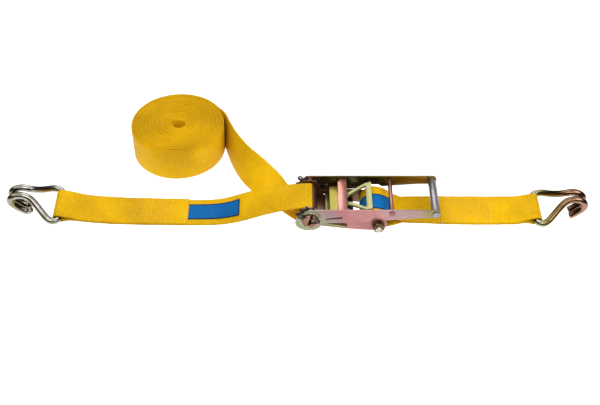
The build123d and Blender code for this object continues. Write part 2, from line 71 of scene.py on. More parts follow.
class Nodes:
    """Small helper that adds and links shader nodes."""

    def __init__(self, name):
        self.material = bpy.data.materials.new(name)
        self.material.use_nodes = True
        self.tree = self.material.node_tree
        self.shader = self.tree.nodes["Principled BSDF"]

    def add(self, kind, inputs=None, **settings):
        node = self.tree.nodes.new(kind)
        for key, value in settings.items():
            setattr(node, key, value)
        for key, value in (inputs or {}).items():
            self.put(node.inputs[key], value)
        return node

    def put(self, socket, value):
        if isinstance(value, bpy.types.NodeSocket):
            self.tree.links.new(value, socket)
        else:
            socket.default_value = value

    def math(self, operation, a, b=0.0):
        return self.add("ShaderNodeMath", {0: a, 1: b}, operation=operation).outputs[0]

    def noise(self, scale, detail=4.0, vector=None, roughness=0.5):
        inputs = {"Scale": scale, "Detail": detail, "Roughness": roughness}
        if vector is None:
            vector = self.add("ShaderNodeTexCoord").outputs["Object"]
        inputs["Vector"] = vector
        return self.add("ShaderNodeTexNoise", inputs).outputs["Fac"]

    def ramp(self, fac, stops):
        node = self.add("ShaderNodeValToRGB", {"Fac": fac})
        elements = node.color_ramp.elements
        elements[0].position, elements[0].color = stops[0][0], (*stops[0][1], 1)
        elements[1].position, elements[1].color = stops[-1][0], (*stops[-1][1], 1)
        for position, color in stops[1:-1]:
            elements.new(position).color = (*color, 1)
        return node.outputs["Color"]

    def mix(self, fac, a, b, blend="MIX"):
        node = self.add("ShaderNodeMix", data_type="RGBA", blend_type=blend)
        for index, value in ((0, fac), (6, a), (7, b)):
            self.put(node.inputs[index], value)
        return node.outputs[2]

    def bump(self, height, distance, strength=1.0, normal=None):
        inputs = {"Height": height, "Distance": distance, "Strength": strength}
        if normal is not None:
            inputs["Normal"] = normal
        return self.add("ShaderNodeBump", inputs).outputs["Normal"]

    def shade(self, **values):
        names = {"color": "Base Color", "sheen": "Sheen Weight", "sheen_roughness": "Sheen Roughness",
                 "coat": "Coat Weight", "specular": "Specular IOR Level"}
        for key, value in values.items():
            self.put(self.shader.inputs[names.get(key, key.capitalize())], value)
        return self.material


def srgb(r, g, b):
    """Linear colour from 0..255 screen values."""
    def channel(c):
        c /= 255
        return c / 12.92 if c <= 0.04045 else ((c + 0.055) / 1.055) ** 2.4
    return channel(r), channel(g), channel(b)


def woven(name, light, dark, rib_mm, edge_mm=None, depth=0.25, rib_shade=0.15, edge_shade=0.45,
          roll_from=None):
    """Webbing: ribs across the width, fine warp threads along it, painted shade in the rib valleys and along
    the edges.
    """
    n = Nodes(name)
    uv = n.add("ShaderNodeSeparateXYZ", {"Vector": n.add("ShaderNodeUVMap", uv_map="Strap").outputs["UV"]})
    along, across = uv.outputs["X"], uv.outputs["Y"]
    turn = 2 * math.pi
    warp = n.math("SINE", n.math("MULTIPLY", across, turn / 1.25))
    shift = n.math("MULTIPLY", warp, 0.6)
    rib = n.math("SINE", n.math("ADD", n.math("MULTIPLY", along, turn / rib_mm), shift))
    rib = n.math("MULTIPLY", n.math("ADD", rib, 1.0), 0.5)
    height = n.math("ADD", rib, n.math("MULTIPLY", warp, 0.22))
    broad = n.noise(9.0, 3.0)
    fine = n.noise(160.0, 2.0)
    tone = n.math("ADD", n.math("MULTIPLY", broad, 0.75), n.math("MULTIPLY", fine, 0.2))
    color = n.ramp(tone, [(0.33, dark), (0.62, light)])
    # From roll_from onward the coil gets deeper painted shade in its rib valleys.
    if roll_from:
        coil_rib_shade = n.add("ShaderNodeMapRange", {
            "Value": along, "From Min": roll_from, "From Max": roll_from + 60,
            "To Min": rib_shade, "To Max": 2.4 * rib_shade,
        })
        rib_shade = coil_rib_shade.outputs[0]
    # Painted shade: the rib valleys are darkened towards half the dark colour.
    valley_shade_mix = n.math("MULTIPLY", n.math("SUBTRACT", 1.0, rib), rib_shade)
    color = n.mix(valley_shade_mix, color, (*[c * 0.5 for c in dark], 1))
    # Painted shade along both edges of the strap.
    if edge_mm:
        shaded_edge = n.math("GREATER_THAN", n.math("ABSOLUTE", across), edge_mm)
        color = n.mix(n.math("MULTIPLY", shaded_edge, edge_shade), color, (*[c * 0.6 for c in dark], 1))
    normal = n.bump(height, depth * MM, 0.9)
    return n.shade(color=color, roughness=0.55, sheen=0.02, sheen_roughness=0.4, specular=0.08,
                   normal=normal)


def plated(name, stops, scale, roughness, axis=None, metallic=0.9, stretch=None, ends=None,
           edges=0.0, horizon_reflection=0.0):
    """Zinc plated steel: drifting passivation colours, faint rolling marks and specks; optional painted shade
    past a |Y| limit, painted dark reflection at grazing angles and a painted dark horizon reflection.
    """
    n = Nodes(name)
    place = n.add("ShaderNodeTexCoord").outputs["Object"]
    cloud = n.noise(scale, 3.0, place, 0.55)
    if axis:
        part = n.add("ShaderNodeSeparateXYZ", {"Vector": place}).outputs["XYZ".index(axis[0])]
        ends_m = {"From Min": axis[1] * MM, "From Max": axis[2] * MM}
        drift = n.add("ShaderNodeMapRange", {"Value": part, **ends_m})
        cloud = n.math("ADD", n.math("MULTIPLY", drift.outputs[0], 0.65), n.math("MULTIPLY", cloud, 0.35))
    color = n.ramp(cloud, stops)
    # Painted shade: past |Y| = ends[0] the colour becomes the dark ends[1].
    if ends:
        side = n.math("ABSOLUTE", n.add("ShaderNodeSeparateXYZ", {"Vector": place}).outputs["Y"])
        color = n.mix(n.math("GREATER_THAN", side, ends[0] * MM), color, (*ends[1], 1))
    # Painted dark reflection: faces seen at grazing angles are darkened, as if mirroring a dark studio.
    if edges:
        facing = n.add("ShaderNodeLayerWeight", {"Blend": 0.4}).outputs["Facing"]
        grazing_shade = n.ramp(facing, [(0.18, (1, 1, 1)), (0.62, (0.14, 0.11, 0.07))])
        color = n.mix(edges, color, grazing_shade, "MULTIPLY")
    # Painted reflection: a dark horizon band, picked by the height of the reflection direction, darkens the
    # colour.
    if horizon_reflection:
        mirror = n.add("ShaderNodeTexCoord").outputs["Reflection"]
        height = n.add("ShaderNodeSeparateXYZ", {"Vector": mirror}).outputs["Z"]
        height = n.math("ADD", n.math("MULTIPLY", height, 0.5), 0.5)
        painted_horizon_band = n.ramp(height, [(0.34, (1, 1, 1)), (0.44, (0.1, 0.08, 0.06)), (0.7, (0.05, 0.05, 0.05)),
                                  (0.8, (1, 1, 1))])
        color = n.mix(horizon_reflection, color, painted_horizon_band, "MULTIPLY")
    specks = n.ramp(n.noise(420.0, 3.0, place), [(0.36, (0.55, 0.5, 0.45)), (0.48, (1, 1, 1))])
    color = n.mix(0.5, color, specks, "MULTIPLY")
    marks = n.add("ShaderNodeMapping", {"Vector": place, "Scale": stretch or (40, 900, 900)}).outputs[0]
    rolled = n.noise(1.0, 2.0, marks)
    rough = n.math("ADD", roughness - 0.08, n.math("MULTIPLY", n.noise(60.0, 4.0, place), 0.2))
    normal = n.bump(n.math("ADD", rolled, n.noise(700.0, 2.0, place)), 0.04 * MM, 0.6)
    return n.shade(color=color, metallic=metallic, roughness=rough, normal=normal)


webbing = woven("webbing", srgb(228, 177, 0), srgb(190, 145, 0), 5.6, 36.2)
# The tail and roll get a paler copy of the webbing colour as painted light, with less painted edge shade.
lit_roll_webbing = woven("lit_roll_webbing", srgb(239, 186, 0), srgb(201, 153, 0), 5.6, 36.6, edge_shade=0.25,
                       roll_from=320)
label_cloth = woven("label_cloth", srgb(0, 102, 168), srgb(0, 84, 144), 5.6, depth=0.1, rib_shade=0.2)
label_hem = woven("label_hem", srgb(6, 44, 84), srgb(4, 26, 54), 1.6, depth=0.1)

PINK, ROSE = srgb(170, 120, 114), srgb(156, 104, 104)
LAVENDER, SAGE = srgb(150, 134, 148), srgb(136, 142, 116)
ACROSS_MARKS = (900, 40, 900)

cheek_zinc = plated(
    "cheek_zinc",
    [(0.26, SAGE), (0.34, srgb(140, 116, 114)), (0.43, ROSE), (0.54, PINK),
     (0.61, srgb(160, 128, 136)), (0.7, srgb(136, 124, 88))],
    16.0, 0.3, ("X", -40, 300), 0.85)
# The far cheek is seen from inside: its colours are painted reflection, dark brown and olive where it mirrors
# shade and gold where it mirrors the yellow strap.
far_cheek_reflection_zinc = plated(
    "far_cheek_reflection_zinc",
    [(0.15, srgb(150, 108, 70)), (0.3, srgb(108, 78, 50)), (0.4, srgb(56, 58, 34)),
     (0.62, srgb(104, 88, 36)), (0.85, srgb(160, 128, 60))],
    14.0, 0.2, ("X", -40, 300), 0.85)
web_zinc = plated(
    "web_zinc",
    [(0.3, srgb(196, 134, 112)), (0.55, srgb(212, 146, 130)), (0.75, srgb(196, 140, 138))],
    20.0, 0.34, metallic=0.75)
# The grip gets a light painted dark reflection at grazing angles (edges).
grip_zinc = plated(
    "grip_zinc",
    [(0.3, srgb(130, 126, 130)), (0.5, srgb(150, 145, 152)), (0.7, LAVENDER)],
    22.0, 0.26, stretch=ACROSS_MARKS, edges=0.15)
# The cross bar gets a strong painted dark reflection at grazing angles (edges).
bar_zinc = plated(
    "bar_zinc",
    [(0.3, srgb(126, 84, 72)), (0.6, srgb(176, 122, 108))],
    20.0, 0.3, stretch=ACROSS_MARKS, edges=0.6)
# The pawl's ears past |Y| 40.2 mm get dark brown painted shade where they sit between the wheel teeth; the
# colour drifts along X from olive at the front to pale.
pawl_zinc = plated(
    "pawl_zinc",
    [(0.26, srgb(150, 136, 46)), (0.42, srgb(160, 152, 74)), (0.6, srgb(154, 154, 102))],
    18.0, 0.36, ("X", 30, 120), 0.7, ends=(40.2, srgb(58, 42, 28)))
lock_zinc = plated(
    "lock_zinc",
    [(0.3, srgb(120, 118, 76)), (0.6, srgb(158, 156, 108))],
    18.0, 0.36, metallic=0.85)
near_plate_zinc = plated(
    "near_plate_zinc",
    [(0.25, srgb(136, 92, 92)), (0.5, ROSE), (0.75, PINK)],
    14.0, 0.3, metallic=0.8)
# The far frame plate gets a dark brown copy of the plate colour as painted shade.
shaded_far_plate_zinc = plated("shaded_far_plate_zinc", [(0.25, srgb(74, 52, 34)), (0.6, srgb(112, 84, 60))], 14.0, 0.3)
# The frame bridge and floor are dark brown as painted shade inside the frame.
shaded_frame_floor_zinc = plated("shaded_frame_floor_zinc", [(0.3, srgb(88, 62, 42)), (0.6, srgb(124, 92, 66))], 20.0, 0.36)
dark_zinc = plated("dark_zinc", [(0.3, srgb(30, 23, 18)), (0.6, srgb(72, 56, 44))], 30.0, 0.24)
washer_zinc = plated("washer_zinc", [(0.3, srgb(120, 122, 92)), (0.6, srgb(168, 170, 140))], 40.0, 0.3)
copper_zinc = plated(
    "copper_zinc",
    [(0.3, srgb(120, 84, 66)), (0.55, srgb(156, 112, 98)), (0.75, srgb(112, 94, 70))],
    24.0, 0.26)
nut_zinc = plated("nut_zinc", [(0.3, srgb(60, 42, 30)), (0.6, srgb(112, 84, 60))], 60.0, 0.2)
bolt_zinc = plated("bolt_zinc", [(0.3, srgb(160, 156, 140)), (0.7, srgb(192, 188, 170))], 60.0, 0.22)
# Both hooks get a painted dark horizon reflection (horizon_reflection).
left_hook_zinc = plated(
    "left_hook_zinc",
    [(0.22, srgb(92, 76, 46)), (0.4, srgb(132, 120, 84)), (0.58, srgb(168, 168, 160)),
     (0.78, srgb(124, 96, 68))],
    20.0, 0.12, metallic=1.0, horizon_reflection=0.92)
right_hook_zinc = plated(
    "right_hook_zinc",
    [(0.12, srgb(176, 176, 150)), (0.3, srgb(122, 106, 60)), (0.55, srgb(126, 94, 64)),
     (0.8, srgb(146, 112, 92))],
    20.0, 0.12, ("X", 480, 575), 1.0, horizon_reflection=0.92)
spring_steel = plated("spring_steel", [(0.3, srgb(92, 88, 82)), (0.7, srgb(136, 132, 124))], 80.0, 0.25)
pin_steel = plated("pin_steel", [(0.3, srgb(44, 40, 35)), (0.7, srgb(92, 84, 74))], 80.0, 0.3)


def thread_material():
    """Sewing thread: slightly paler than the webbing, twisted."""
    n = Nodes("thread")
    color = n.ramp(n.noise(300.0), [(0.35, srgb(226, 166, 20)), (0.65, srgb(250, 200, 60))])
    twist = n.noise(2600.0, 1.0)
    return n.shade(color=color, roughness=0.5, sheen=0.3, normal=n.bump(twist, 0.08 * MM, 0.8))


thread = thread_material()


# ---------------------------------------------------------------- shape helpers

def catmull(points, per_span):
    """Smooth line through points of any dimension."""
    out = []
    last = len(points) - 1
    for i in range(last):
        p0, p1, p2, p3 = points[max(i - 1, 0)], points[i], points[i + 1], points[min(i + 2, last)]
        for k in range(per_span):
            t = k / per_span
            out.append(tuple(
                0.5 * (2 * b + (c - a) * t + (2 * a - 5 * b + 4 * c - d) * t * t
                       + (3 * b - a - 3 * c + d) * t ** 3)
                for a, b, c, d in zip(p0, p1, p2, p3)
            ))
    out.append(tuple(points[last]))
    return out


def evened(points, step):
    """The same line with points about one step apart."""
    lengths = [0.0]
    for a, b in zip(points, points[1:]):
        lengths.append(lengths[-1] + math.dist(a[:3], b[:3]))
    count = max(2, round(lengths[-1] / step) + 1)
    out, k = [], 0
    for i in range(count):
        s = lengths[-1] * i / (count - 1)
        while k < len(points) - 2 and lengths[k + 1] < s:
            k += 1
        t = (s - lengths[k]) / max(lengths[k + 1] - lengths[k], 1e-9)
        out.append(tuple(a + (b - a) * t for a, b in zip(points[k], points[k + 1])))
    return out


def make_object(name, vertices, faces, materials, smooth=True, uvs=None):
    """Mesh object from millimetre vertices."""
    mesh = bpy.data.meshes.new(name)
    mesh.from_pydata([(x * MM, y * MM, z * MM) for x, y, z in vertices], [], faces)
    for material in materials:
        mesh.materials.append(material)
    if uvs:
        layer = mesh.uv_layers.new(name="Strap")
        for loop in mesh.loops:
            layer.data[loop.index].uv = uvs[loop.vertex_index]
    if smooth:
        mesh.shade_smooth()
    mesh.update()
    obj = bpy.data.objects.new(name, mesh)
    bpy.context.scene.collection.objects.link(obj)
    return obj


def band_profile(half_width, thickness, columns=10):
    """(across, up) points round a band's cross section, with rounded edges."""
    h = thickness / 2
    flat = half_width - h * 0.9
    top = [(-flat + 2 * flat * k / columns, h) for k in range(columns + 1)]
    right = [(flat + h * 0.65, h * 0.7), (half_width, 0.0), (flat + h * 0.65, -h * 0.7)]
    bottom = [(x, -h) for x, _ in reversed(top)]
    left = [(-x, z) for x, z in reversed(right)]
    return top + right + bottom + left


def band(name, stations, half_width, thickness, material, start=0.0):
    """Band of webbing through stations of (centre, across); across is a unit vector."""
    profile = band_profile(half_width, thickness)
    count = len(profile)
    vertices, uvs, faces = [], [], []
    travelled = start
    for i, (centre, across) in enumerate(stations):
        before = stations[max(i - 1, 0)][0]
        after = stations[min(i + 1, len(stations) - 1)][0]
        along = (after - before).normalized()
        up = along.cross(across).normalized()
        if i:
            travelled += (centre - stations[i - 1][0]).length
        for a, h in profile:
            vertices.append(centre + across * a + up * h)
            uvs.append((travelled, a))
    for i in range(len(stations) - 1):
        for k in range(count):
            m = (k + 1) % count
            faces.append((i * count + k, (i + 1) * count + k, (i + 1) * count + m, i * count + m))
    faces.append(tuple(range(count)))
    faces.append(tuple(range((len(stations) - 1) * count, len(stations) * count))[::-1])
    return make_object(name, vertices, faces, [material], uvs=uvs)


def tilted(x, z, tilt, lift=0.0):
    """Station at height z, lifted along a section tilted about X."""
    t = math.radians(tilt)
    across = Vector((0, math.cos(t), math.sin(t)))
    return Vector((x, -lift * math.sin(t), z + lift * math.cos(t))), across


def at_x(line, x):
    """(z, tilt) of a line of (x, z, tilt) points at x."""
    ordered = sorted(line)
    for a, b in zip(ordered, ordered[1:]):
        if a[0] <= x <= b[0]:
            t = (x - a[0]) / (b[0] - a[0])
            return a[1] + (b[1] - a[1]) * t, a[2] + (b[2] - a[2]) * t
    end = ordered[0] if x < ordered[0][0] else ordered[-1]
    return end[1], end[2]


def dress(obj, body, *nodes, slot=None):
    """Ride on a body and stand for CAD nodes; slot is not used."""
    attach(obj, body)
    if nodes:
        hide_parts(*nodes)
    return obj


# ---------------------------------------------------------------- straps

# Middle lines of the straps as (x, z, sideways tilt in degrees).
SINGLE_LINE = [
    (-14.4, 16.9, 0.0), (-40, 13.5, 1.5), (-68, 8.6, 4.5), (-100, -0.4, 7.0),
    (-136, -13.8, 8.0), (-170, -25.2, 5.0), (-204, -31.4, 2.0), (-260, -32.8, 1.0),
]
SEWN_LINE = [
    (-258, -31.2, 1.0), (-330, -29.6, 2.0), (-400, -27.2, 2.5), (-460, -22.0, 3.0),
    (-519.9, -12.8, 3.5), (-556, -12.8, 3.5),
]
FIXED_LINE = [
    (190, -23.3, 0.0), (255, -24.4, 4.0), (330, -26.2, 6.0), (440, -26.0, 5.5),
    (470.4, -22.0, 0.0), (505, -22.0, 0.0),
]

# X of the loose strap's sewn end and of where its layers part for the hook eye.
LOOSE_SEWN_X, LOOSE_EYE_X = -258, -452
# X where the fixed strap's loop begins and where its layers part for the eye.
FIXED_LOOP_X, FIXED_EYE_X = 199, 400
# X of the fixed strap's two cut ends, which meet on top.
FIXED_ENDS_X = (275.9, 276.2)
# Sewn blocks as (start, end) X, and how far the stitching reaches to each side.
LOOSE_BLOCK, FIXED_BLOCK = (-384, -290), (286, 394)
BLOCK_REACH, SEAM_REACH = 31, 34
LOOSE_LABEL_X, LOOSE_LABEL_LENGTH = -264, 115
# Angle in degrees where the tail joins the roll.
FIRST_TURN = 34.0


def eye_points():
    """(distance outward from the bar, height) of webbing from the upper layer round to the lower one."""
    points = [(-78, LAYER_GAP), (-56, LAYER_GAP), (-38, LAYER_GAP + 0.6), (-20, 5.0)]
    for k in range(9):
        a = math.radians(104 - 26 * k)
        points.append((EYE_R * math.cos(a), EYE_R * math.sin(a)))
    points += [(d, -h) for d, h in points[3::-1]]
    return points


def eye_stations(bar, tilt, outward, line):
    """Stations of a strap's turn round a hook bar, lower layer first, blended into the strap's slope."""
    stations = []
    points = evened(catmull(eye_points(), 6), 2.2)
    for out, height in points:
        x = bar[0] + outward * out
        z, lean = at_x(line, x)
        near = min(1.0, max(0.0, (out + 50) / 40))
        near = near * near * (3 - 2 * near)
        z += (bar[1] - z) * near
        lean += (tilt - lean) * near
        stations.append(tilted(x, z, lean, height))
    return stations[::-1]


def layer(line, x0, x1, lift, step=3.0):
    """Stations of one layer of a sewn strap between two X values."""
    count = max(2, round(abs(x1 - x0) / step))
    smooth = catmull(line, 8)
    stations = []
    for k in range(count + 1):
        x = x0 + (x1 - x0) * k / count
        z, lean = at_x(smooth, x)
        ripple = 0.22 * math.sin(x * 0.09 + lift) + 0.15 * math.sin(x * 0.23)
        stations.append(tilted(x, z, lean, lift + ripple))
    return stations


def oriented(stations):
    """Make every across vector point the way that keeps the band untwisted."""
    fixed = [stations[0]]
    for centre, across in stations[1:]:
        if across.dot(fixed[-1][1]) < 0:
            across = -across
        fixed.append((centre, across))
    return fixed


def loose_strap():
    """Webbing from the spool to the hook eye and back on top to the sewn fold."""
    run = [(-0.5, WRAP_R, 0.0)] + SINGLE_LINE
    single = [tilted(x, z, lean) for x, z, lean in evened(catmull(run, 8), 3.0)][:-1]
    lower = layer(SEWN_LINE, LOOSE_SEWN_X - 3, LOOSE_EYE_X, -LAYER_GAP)
    eye = eye_stations(LOOSE_BAR, LOOSE_TILT, -1, SEWN_LINE)
    upper = layer(SEWN_LINE, LOOSE_EYE_X, LOOSE_SEWN_X, LAYER_GAP)
    stations = single + lower[1:] + eye + upper[1:]
    strap = band("loose_strap_webbing", oriented(stations), WEB_HALF, WEB_THICK, webbing)
    return dress(strap, "loose_strap", "loose_strap", slot="yellow_webbing")


def fixed_loop_points():
    """Centre line of the loose loop round the bolt sleeve, from the top layer to the bottom one."""
    return [(196, -21.8), (181, -14.5), (166, -3.2), (153, 4.9), (142, 7.9), (132, 8.2), (121.2, 3.3),
            (113, -6.5), (109.3, -16.0), (108.6, -25.0), (112, -33), (121, -38), (136, -39.4), (158, -38.2),
            (176, -33.0), (196, -24.9)]


def fixed_strap():
    """Webbing looped round the bolt at one end and the hook bar at the other, ends meeting on top."""
    upper_left = layer(FIXED_LINE, FIXED_ENDS_X[0], FIXED_LOOP_X, LAYER_GAP)
    loop = [tilted(x, z, 0.0) for x, z in evened(catmull(fixed_loop_points(), 6), 2.2)]
    lower = layer(FIXED_LINE, FIXED_LOOP_X - 1, FIXED_EYE_X, -LAYER_GAP)
    eye = eye_stations(FIXED_BAR, FIXED_TILT, 1, FIXED_LINE)
    upper_right = layer(FIXED_LINE, FIXED_EYE_X, FIXED_ENDS_X[1], LAYER_GAP)
    stations = oriented(upper_left + loop + lower + eye[1:] + upper_right[1:])
    strap = band("fixed_strap_webbing", stations, WEB_HALF, WEB_THICK, webbing)
    return dress(strap, "fixed_strap", "fixed_strap", slot="yellow_webbing")


def spool_webbing():
    """Webbing inside the slot and over the left mandrel half."""
    tilt = math.radians(15)
    down = Vector((-math.sin(tilt), 0, -math.cos(tilt)))
    over = [math.radians(a) for a in (93, 88.5, 84)]
    points = [(WRAP_R * math.cos(a), 0.0, WRAP_R * math.sin(a)) for a in over]
    points.append(tuple(-down * 16.4 + Vector((0.6, 0, 0))))
    points += [tuple(-down * r) for r in (13.2, 8, 0, -8, -14, -18.4)]
    line = evened(catmull(points, 6), 1.5)
    stations = [(Vector(p), Vector((0, 1, 0))) for p in line]
    piece = band("spool_slot_webbing", stations, WEB_HALF, WEB_THICK, webbing)
    return dress(piece, "spool", "spool_webbing", slot="yellow_webbing")


def tail_and_roll():
    """Free end: out of the slot, over on to its edge, then coiled into the roll."""
    edges = [
        ((-5.0, -37.4, -18.8), (-5.0, 37.4, -18.8)),
        ((-6.4, -37.4, -21.5), (-6.4, 37.4, -21.5)),
        ((-12.0, -37.0, -25.5), (-11.0, 37.8, -25.0)),
        ((-27.0, -27.0, -29.0), (-22.0, 46.5, -28.0)),
        ((-50.0, -5.0, -31.5), (-41.0, 68.0, -24.0)),
        ((-78.0, 28.0, -34.0), (-62.0, 99.0, -14.0)),
        ((-110.0, 56.0, -37.0), (-84.0, 118.0, -1.0)),
        ((-133.0, 83.0, -40.5), (-104.0, 131.0, 12.0)),
        ((-153.0, 117.0, -41.5), (-126.0, 143.0, 23.0)),
        ((-170.5, 157.0, -42.3), (-146.0, 167.0, 28.0)),
        ((-181.0, 190.0, -42.5), (-165.0, 199.0, 30.0)),
        ((-189.0, 219.0, -42.5), (-178.5, 230.0, 31.0)),
        ((-193.0, 243.0, -42.5), (-189.5, 257.0, 32.0)),
    ]
    line = []
    for a, b in edges:
        middle = [(p + q) / 2 for p, q in zip(a, b)]
        across = (Vector(b) - Vector(a)).normalized()
        line.append((*middle, *across))
    joining = [math.radians(FIRST_TURN + a) for a in (0, 8, 16)]
    line += [(*roll_point(a), 0, 0, 1) for a in joining]
    smooth = evened(catmull(line, 8), 3.0)
    stations = [(Vector(p[:3]), Vector(p[3:]).normalized()) for p in smooth]
    turns = (ROLL_OUTER - ROLL_CORE) / TURN_PITCH
    angle = joining[-1]
    end = angle + turns * 2 * math.pi
    while angle < end:
        radius = ROLL_OUTER - TURN_PITCH * angle / (2 * math.pi)
        angle += 3.6 / max(radius, 22)
        stations.append((Vector(roll_point(angle)), Vector((0, 0, 1))))
    piece = band("tail_and_roll_webbing", stations, WEB_HALF, WEB_THICK - 0.12, lit_roll_webbing)
    return dress(piece, "frame", "tail_strap", "strap_roll", slot="yellow_webbing")


def roll_point(angle):
    """Point on the coil's middle line at an angle counted through all its turns."""
    radius = ROLL_OUTER - TURN_PITCH * angle / (2 * math.pi)
    inner = max(0.0, 1 - (radius - ROLL_CORE) / 34)
    squeeze = 1 + 0.16 * inner * math.cos(2 * angle + 0.8) + 0.05 * inner * math.sin(3 * angle)
    wave = 0.25 * math.sin(3.1 * angle) + 0.2 * math.sin(5.3 * angle + 1.0)
    turn = angle / (2 * math.pi)
    lift = 0.7 * math.sin(2.4 * turn) + 0.35 * math.sin(7.9 * turn + 0.6 * math.cos(angle))
    r = radius * squeeze + wave * 0.25
    return ROLL_X + r * math.cos(angle), ROLL_Y + r * math.sin(angle), FLOOR_Z + WEB_HALF + 0.6 + lift


# ---------------------------------------------------------------- stitching and labels

def stitch_mesh(name, places):
    """One mesh of short thread stitches; places are (middle, along, up, length)."""
    vertices, faces = [], []
    ring = 6
    for middle, along, up, length in places:
        side = along.cross(up).normalized()
        base = len(vertices)
        for t, size in ((-0.5, 0.15), (-0.3, 0.85), (0.0, 1.0), (0.3, 0.85), (0.5, 0.15)):
            arch = 0.32 * (1 - (2 * t) ** 2) - 0.1
            for k in range(ring):
                a = 2 * math.pi * k / ring
                off = side * math.cos(a) * 0.48 * size + up * (math.sin(a) * 0.34 * size + arch)
                vertices.append(middle + along * t * length + off)
        for j in range(4):
            for k in range(ring):
                m = (k + 1) % ring
                low, high = base + j * ring, base + (j + 1) * ring
                faces.append((low + k, low + m, high + m, high + k))
    return make_object(name, vertices, faces, [thread])


def top_surface(line, x, y, lift):
    """Point and up vector on the upper face of a strap line at (x, y)."""
    z, lean = at_x(line, x)
    t = math.radians(lean)
    up = Vector((0, -math.sin(t), math.cos(t)))
    return Vector((x, y * math.cos(t), z + y * math.sin(t))) + up * lift, up


def seam(line, corners, lift, pitch=4.2):
    """Stitch places along a broken line of (x, y) corners on a strap."""
    places = []
    for a, b in zip(corners, corners[1:]):
        count = max(1, round(math.dist(a, b) / pitch))
        for k in range(count):
            p = [c + (d - c) * (k + 0.5) / count for c, d in zip(a, b)]
            q = [c + (d - c) * (k + 0.6) / count for c, d in zip(a, b)]
            middle, up = top_surface(line, *p, lift)
            ahead, _ = top_surface(line, *q, lift)
            places.append((middle, (ahead - middle).normalized(), up, pitch * 0.74))
    return places


def sewn_block(line, x0, x1, lift, rows=9):
    """Rows of lengthwise stitching with a zigzag over them."""
    smooth = catmull(line, 8)
    places = []
    for k in range(rows):
        y = -BLOCK_REACH + 2 * BLOCK_REACH * k / (rows - 1)
        inset = 7 * (k % 2)
        places += seam(smooth, [(x0 + inset, y), (x1 - inset, y)], lift)
    zigzag = [(x0 + (x1 - x0) * k / 8, -BLOCK_REACH if k % 2 else BLOCK_REACH) for k in range(9)]
    places += seam(smooth, zigzag, lift + 0.15)
    return places


def stitching():
    """All thread on both straps."""
    lift = LAYER_GAP + WEB_THICK / 2
    smooth = catmull(SEWN_LINE, 8)
    loose = sewn_block(SEWN_LINE, *LOOSE_BLOCK, lift)
    loose += seam(smooth, [(-262, -SEAM_REACH), (-262, SEAM_REACH)], lift)
    loose += seam(smooth, [(-265, SEAM_REACH), (-265, -SEAM_REACH)], lift)
    dress(stitch_mesh("loose_strap_stitching", loose), "loose_strap", slot="yellow_webbing")
    smooth = catmull(FIXED_LINE, 8)
    fixed = sewn_block(FIXED_LINE, *FIXED_BLOCK, lift)
    fixed += seam(smooth, [(279.5, -SEAM_REACH), (279.5, SEAM_REACH)], lift)
    dress(stitch_mesh("fixed_strap_stitching", fixed), "fixed_strap", slot="yellow_webbing")


def label(name, stations, half_width, body, node):
    """Cloth label with a darker band along all its edges."""
    piece = band(name, stations, half_width, 0.7, label_cloth)
    dress(piece, body, node, slot="blue_label")
    for side, place in ((-1, "near"), (1, "far")):
        shifted = [(c + a * side * (half_width - 1.2) + Vector((0, 0, 0.2)), a) for c, a in stations]
        dress(band(f"{name}_hem_{place}", shifted, 1.4, 0.8, label_hem), body, slot="blue_label")
    for index, step, place in ((0, 1, "start"), (-1, -1, "end")):
        (centre, across), after = stations[index], stations[index + step][0]
        inward = (after - centre).normalized()
        middle = centre + inward * 1.0 + Vector((0, 0, 0.2))
        line = [(middle + across * half_width * t / 6, inward) for t in range(-6, 7)]
        dress(band(f"{name}_hem_{place}", line, 1.2, 0.8, label_hem), body, slot="blue_label")
    return piece


def loose_label():
    """Label on the loose strap, tucked under the sewn fold."""
    smooth = catmull(SINGLE_LINE, 8)
    stations = []
    for k in range(50):
        x = LOOSE_LABEL_X + LOOSE_LABEL_LENGTH * k / 49
        z, lean = at_x(smooth, x)
        lift = 2.0 + max(0.0, (x + 176) / 27) ** 2 * 1.6 + 0.12 * math.sin(x * 0.35)
        stations.append(tilted(x, z, lean, lift))
    return label("loose_strap_label_cloth", stations, LABEL_HALF, "loose_strap", "loose_strap_label")


def fixed_label():
    """Label wrapped over the loose loop at the bolt."""
    loop = evened(catmull(fixed_loop_points(), 8), 1.5)
    stations = []
    for i, (x, z) in enumerate(loop[1:-1], 1):
        dx, dz = loop[i + 1][0] - loop[i - 1][0], loop[i + 1][1] - loop[i - 1][1]
        size = math.hypot(dx, dz)
        if x < 168 and z > -17:
            stations.append((Vector((x + dz / size * 2.1, -9, z - dx / size * 2.1)), Vector((0, 1, 0))))
    return label("fixed_strap_label_cloth", stations, LABEL_HALF, "fixed_strap", "fixed_strap_label")


# ---------------------------------------------------------------- hooks

# Bar centre line from the webbing eye to the tip, before the end is curled or left open.
HOOK_LEG = [
    (0, 34.0, 0), (0.4, 38.8, 0.1), (4.2, 44.0, 0.8), (12, 46.0, 2.8), (21, 42.8, 6.6), (31, 34.4, 12.4),
    (42, 24.6, 20.2), (53, 16.4, 28.2), (63, 12.4, 34.2), (73, 11.4, 37.0), (83, 11, 36.4), (92, 11, 32.4),
    (99.2, 10.7, 25.6), (101, 10.2, 17), (97.2, 9.6, 8), (89, 9.2, -1.0), (80, 9, -8.6),
]
CURLED_TIP = [(71, 9, -12.8), (64, 9, -11.0), (60, 9, -5.5)]
OPEN_TIP = [(73, 9, -12.2)]


